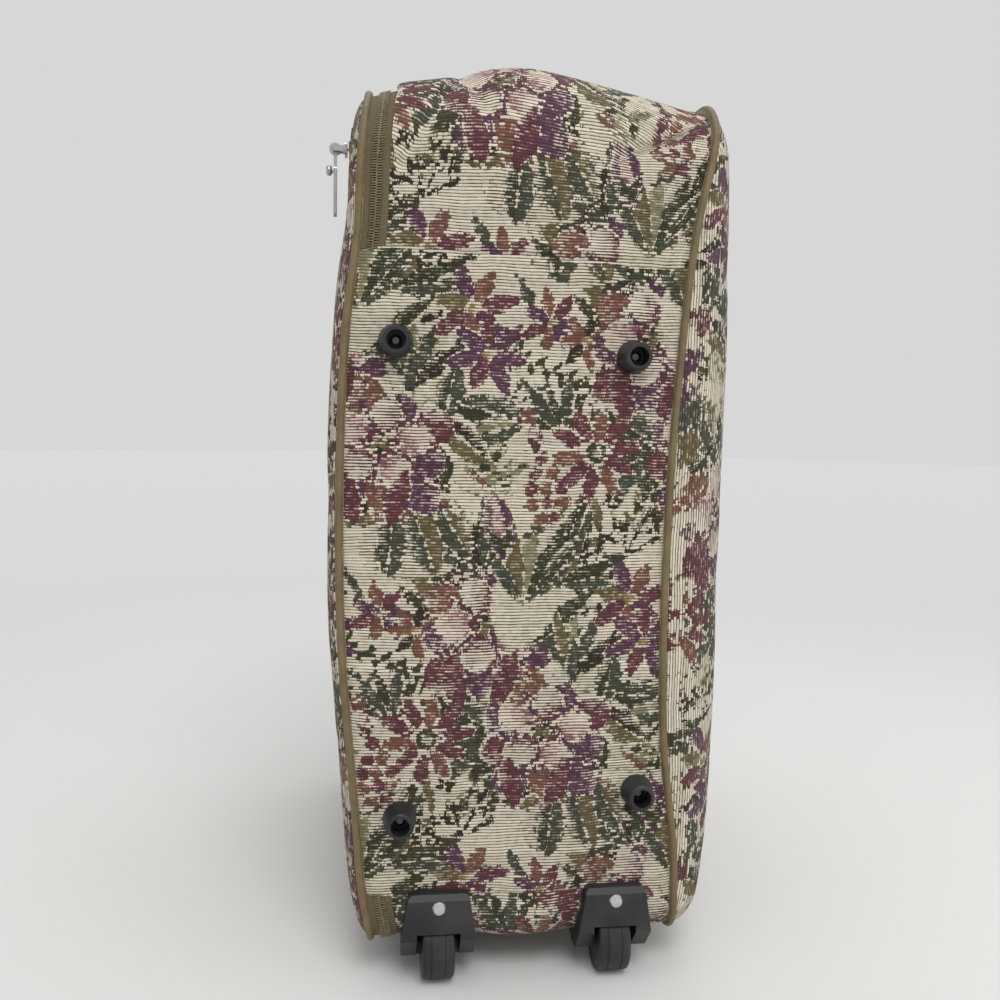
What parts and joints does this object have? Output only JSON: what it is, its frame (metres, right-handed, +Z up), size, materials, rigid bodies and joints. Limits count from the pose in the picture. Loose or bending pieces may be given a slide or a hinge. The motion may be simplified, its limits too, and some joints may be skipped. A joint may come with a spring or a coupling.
{
  "type": "soft-sided rolling suitcase",
  "caption": "Soft-sided upright suitcase in floral tapestry cloth with tan piping, a zipped cloth-hinged lid, corner wheels, black plastic feet, a carrying handle and a pull ring.",
  "frame": {"origin": "on the floor, at the middle of the footprint box", "axes": "+Z up along the case's long side, +Y from the feet side to the carrying-handle side, +X from the lid to the back panel"},
  "size_m": [0.2888, 0.4824, 0.6464],
  "materials": {
    "tapestry": "ribbed woven floral tapestry",
    "tan_vinyl": "satin grained vinyl",
    "handle_vinyl": "satin grained vinyl over foam",
    "zip_tape": "woven tape",
    "zip_coil": "nylon coil, satin",
    "spring_steel": "cold rolled band",
    "board": "pressed sheet",
    "lining": "plain satin weave",
    "black_plastic": "moulded, satin",
    "wheel_black": "moulded, fine rings",
    "steel": "zinc plated",
    "bright_rivet": "nickel plated",
    "gunmetal": "dark nickel"
  },
  "bodies": {
    "case": {"side_wall": "tapestry", "back_panel": "tapestry", "back_piping": "tan_vinyl", "front_frame_band": "spring_steel", "rear_frame_band": "spring_steel", "body_lining": "lining", "base_board": "board", "foot_board": "board", "handle_board": "board", "zip_teeth_body": "zip_coil", "zip_tape_body": "zip_tape", "side_foot_lower_front": "black_plastic", "side_foot_lower_back": "black_plastic", "side_foot_upper_front": "black_plastic", "side_foot_upper_back": "black_plastic", "end_foot_front": "black_plastic", "end_foot_back": "black_plastic", "foot_screws": "steel", "foot_washers": "steel", "wheel_housing_front": "black_plastic", "wheel_housing_back": "black_plastic", "axle_front": "steel", "axle_back": "steel", "housing_rivets": "bright_rivet", "handle_bracket_lower": "black_plastic", "handle_bracket_upper": "black_plastic", "handle_pins": "steel", "handle_rivets": "bright_rivet", "pull_tab": "tan_vinyl", "tab_rivets": "bright_rivet"},
    "lid": {"lid_panel": "tapestry", "lid_piping": "tan_vinyl", "lid_lining": "lining", "zip_tape_lid": "zip_tape", "zip_teeth_lid": "zip_coil", "pocket_zip_tape": "zip_tape", "pocket_zip_teeth": "zip_coil"},
    "wheel_front": {"wheel_front": "wheel_black"},
    "wheel_back": {"wheel_back": "wheel_black"},
    "handle": {"handle_grip": "handle_vinyl"},
    "ring": {"pull_ring": "bright_rivet"},
    "upper_slider": {"zip_slider_upper": "gunmetal"},
    "upper_pull": {"zip_pull_upper": "gunmetal"},
    "lower_slider": {"zip_slider_lower": "gunmetal"},
    "lower_pull": {"zip_pull_lower": "gunmetal"},
    "pocket_slider": {"pocket_slider": "gunmetal"},
    "pocket_pull": {"pocket_pull": "gunmetal"}
  },
  "joints": [
    {"name": "lid_hinge", "type": "hinge", "parent": "case", "child": "lid", "pos_m": [-0.1158, -0.22325, 0.3315], "axis": [0, 0, 1], "range_deg": [0, 110]},
    {"name": "wheel_front_spin", "type": "hinge", "parent": "case", "child": "wheel_front", "pos_m": [-0.06164, -0.21225, 0.025], "axis": [1, 0, 0], "continuous": true},
    {"name": "wheel_back_spin", "type": "hinge", "parent": "case", "child": "wheel_back", "pos_m": [0.06636, -0.21225, 0.025], "axis": [1, 0, 0], "continuous": true},
    {"name": "handle_swing", "type": "hinge", "parent": "case", "child": "handle", "pos_m": [0.00156, 0.19775, 0.3315], "axis": [0, 0, 1], "range_deg": [-75, 75]},
    {"name": "ring_swing", "type": "hinge", "parent": "case", "child": "ring", "pos_m": [0.00536, -0.00825, 0.6412], "axis": [1, 0, 0], "range_deg": [0, 170]},
    {"name": "upper_slider_travel", "type": "slide", "parent": "case", "child": "upper_slider", "axis": [0, 0, 1], "range_m": [0, 0.18]},
    {"name": "upper_pull_swing", "type": "hinge", "parent": "upper_slider", "child": "upper_pull", "pos_m": [-0.10333, 0.19255, 0.3875], "axis": [1, 0, 0], "range_deg": [0, 165]},
    {"name": "lower_slider_travel", "type": "slide", "parent": "case", "child": "lower_slider", "axis": [0, 0, -1], "range_m": [0, 0.2]},
    {"name": "lower_pull_swing", "type": "hinge", "parent": "lower_slider", "child": "lower_pull", "pos_m": [-0.10334, 0.19255, 0.3175], "axis": [1, 0, 0], "range_deg": [0, 165]},
    {"name": "pocket_slider_travel", "type": "slide", "parent": "lid", "child": "pocket_slider", "axis": [0.0115, 0.9999, 0], "range_m": [0, 0.31]},
    {"name": "pocket_pull_swing", "type": "hinge", "parent": "pocket_slider", "child": "pocket_pull", "pos_m": [-0.13806, -0.17425, 0.595], "axis": [0, 1, 0], "range_deg": [0, 150]}
  ]
}
